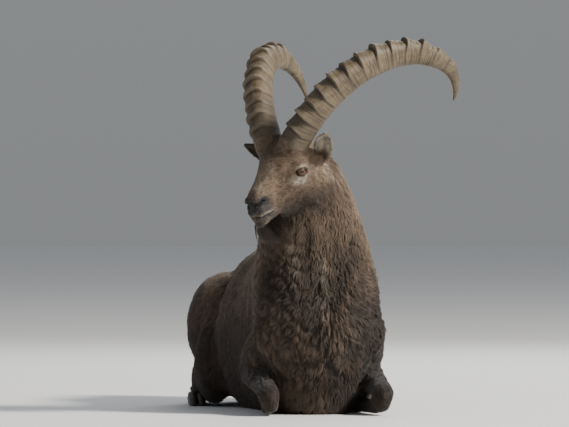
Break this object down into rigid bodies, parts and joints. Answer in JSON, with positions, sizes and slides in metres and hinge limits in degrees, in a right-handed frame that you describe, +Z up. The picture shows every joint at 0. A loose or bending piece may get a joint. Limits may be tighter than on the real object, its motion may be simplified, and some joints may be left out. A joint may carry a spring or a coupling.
{
  "type": "alpine ibex, lying",
  "caption": "Life-size adult male alpine ibex lying on its brisket, head high and turned to its right, with long back-curved knobbed horns.",
  "frame": {"origin": "on the floor under the chest, where the brisket rests", "axes": "+Z up, -Y the way the chest faces, +X the animal's left"},
  "size_m": [0.6191, 1.2123, 0.9738],
  "materials": {
    "coat": "short dense brown coat",
    "leg_coat": "short dark coat",
    "horn": "ridged dull horn",
    "hoof": "satin dark horn",
    "eye": "wet gloss"
  },
  "bodies": {
    "root": {"ear_left": "coat", "ear_right": "coat", "eye_left": "eye", "eye_right": "eye", "fore_cannon_left": "leg_coat", "fore_cannon_right": "leg_coat", "fore_hoof_inner_left": "hoof", "fore_hoof_inner_right": "hoof", "fore_hoof_outer_left": "hoof", "fore_hoof_outer_right": "hoof", "forearm_left": "leg_coat", "forearm_right": "leg_coat", "head": "coat", "hind_cannon_left": "leg_coat", "hind_cannon_right": "leg_coat", "hind_hoof_inner_left": "hoof", "hind_hoof_inner_right": "hoof", "hind_hoof_outer_left": "hoof", "hind_hoof_outer_right": "hoof", "horn_left": "horn", "horn_right": "horn", "neck": "coat", "shank_left": "leg_coat", "shank_right": "leg_coat", "shoulder_left": "coat", "shoulder_right": "coat", "tail": "leg_coat", "thigh_left": "coat", "thigh_right": "coat", "torso": "coat"}
  },
  "joints": []
}
